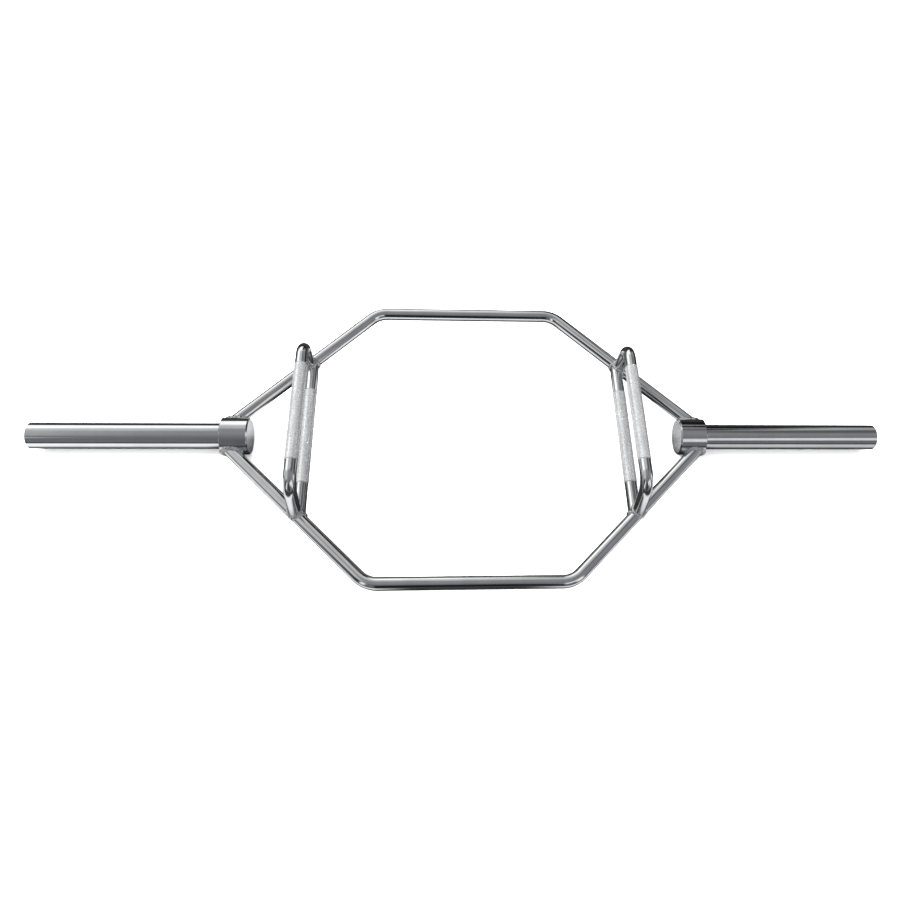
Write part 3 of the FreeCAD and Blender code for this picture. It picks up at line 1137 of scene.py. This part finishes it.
def makeCardGroup():
    tree, given, out = newGroup(
        "studioCard",
        {
            "Facing": (vectorSocket, None), "Across": (vectorSocket, None), "Upright": (vectorSocket, None),
            "Half Width": (floatSocket, 0.2), "Half Height": (floatSocket, 0.2),
            "Edge": (floatSocket, 0.05),
        },
        {"Mask": floatSocket},
    )
    direction = newNode(tree, "ShaderNodeTexCoord").outputs["Generated"]

    def along(socketName):
        node = newNode(tree, "ShaderNodeVectorMath", {"operation": "DOT_PRODUCT"})
        tree.links.new(direction, node.inputs[0])
        tree.links.new(given.outputs[socketName], node.inputs[1])
        return node.outputs["Value"]

    facing = along("Facing")
    ahead = calc(tree, "MAXIMUM", facing, studio["leastFacing"])
    mask = calc(tree, "GREATER_THAN", facing, studio["leastFacing"])
    for axis, size in (("Across", "Half Width"), ("Upright", "Half Height")):
        offset = calc(tree, "ABSOLUTE", calc(tree, "DIVIDE", along(axis), ahead))
        inner = calc(tree, "SUBTRACT", given.outputs[size], given.outputs["Edge"])
        outer = calc(tree, "ADD", given.outputs[size], given.outputs["Edge"])
        mask = calc(tree, "MULTIPLY", mask, remap(tree, offset, inner, outer, 1.0, 0.0, "SMOOTHSTEP"))
    tree.links.new(mask, out.inputs["Mask"])
    return tree


def placeCard(tree, group, card):
    azimuth, elevation = math.radians(card["azimuth"]), math.radians(card["elevation"])
    level = Vector((math.sin(azimuth), math.cos(azimuth), 0))
    halfWidth, halfHeight = card["half"]
    return placeGroup(tree, group, {
        "Facing": level * math.cos(elevation) + upward * math.sin(elevation),
        "Across": (math.cos(azimuth), -math.sin(azimuth), 0),
        "Upright": upward * math.cos(elevation) - level * math.sin(elevation),
        "Half Width": math.tan(math.radians(halfWidth)),
        "Half Height": math.tan(math.radians(halfHeight)),
        "Edge": math.tan(math.radians(card["edge"])),
    })


# a lamp lights the paper and the knurl, and leaves the reflections to the cards
def addLamp(name, lamp):
    light = bpy.data.lights.new(name, "AREA")
    light.shape = "DISK"
    light.size = lamp["size"]
    light.energy = lamp["watts"]
    item = addObject(name, light)
    item.location = lamp["place"]
    back = Vector(lamp["place"]) - Vector(lamp["target"])
    item.rotation_euler = back.to_track_quat("Z", "Y").to_euler()
    item.visible_glossy = False
    item.visible_camera = False


def makeStudio():
    world = bpy.data.worlds.new("studio")
    bpy.context.scene.world = world
    world.use_nodes = True
    tree = world.node_tree
    background = tree.nodes["Background"]
    direction = newNode(tree, "ShaderNodeSeparateXYZ")
    tree.links.new(newNode(tree, "ShaderNodeTexCoord").outputs["Generated"], direction.inputs[0])
    sideways = fadeIn(tree, direction.outputs["X"], *studio["sideBlend"])
    forward = fadeIn(tree, direction.outputs["Y"], *studio["frontBlend"])
    tone = mixColours(tree, sideways, studio["leftTone"], studio["rightTone"])
    tone = mixColours(tree, forward, tone, studio["frontTone"])
    cardGroup = makeCardGroup()
    for card in cards:
        mask = placeCard(tree, cardGroup, card).outputs["Mask"]
        tone = mixColours(tree, mask, tone, (*card["tone"], 1))
    seen = newNode(tree, "ShaderNodeLightPath").outputs["Is Camera Ray"]
    tree.links.new(mixColours(tree, seen, tone, studio["seenTone"]), background.inputs["Color"])
    addLamp("floorLight", floorLight)
    addLamp("sideLight", sideLight)


makeStudio()
print("studio ready")


# camera at the photograph's angle

camera = {
    "place": (-0.066, -0.801, 1.451),
    "azimuth": math.radians(-8.92),
    "elevation": math.radians(59.09),
    "roll": math.radians(7.87),
    "sensorWidth": 36.0,
    "lens": 32.72,
    "shiftX": -0.0556,
    "shiftY": -0.0322,
    "clipStart": 0.05,
    "clipEnd": 60.0,
}


def makeCamera():
    azimuth, elevation, roll = camera["azimuth"], camera["elevation"], camera["roll"]
    flat = math.cos(elevation)
    back = Vector((math.sin(azimuth) * flat, -math.cos(azimuth) * flat, math.sin(elevation)))
    level = upward.cross(back).normalized()
    steep = back.cross(level)
    right = level * math.cos(roll) + steep * math.sin(roll)
    up = steep * math.cos(roll) - level * math.sin(roll)
    data = bpy.data.cameras.new("photoCamera")
    data.sensor_width = camera["sensorWidth"]
    data.lens = camera["lens"]
    data.shift_x = camera["shiftX"]
    data.shift_y = camera["shiftY"]
    data.clip_start = camera["clipStart"]
    data.clip_end = camera["clipEnd"]
    item = addObject("photoCamera", data)
    item.matrix_world = Matrix((
        (right.x, up.x, back.x, camera["place"][0]),
        (right.y, up.y, back.y, camera["place"][1]),
        (right.z, up.z, back.z, camera["place"][2]),
        (0, 0, 0, 1),
    ))
    bpy.context.scene.camera = item


makeCamera()
bpy.context.scene.view_settings.view_transform = "Standard"
print("camera set")
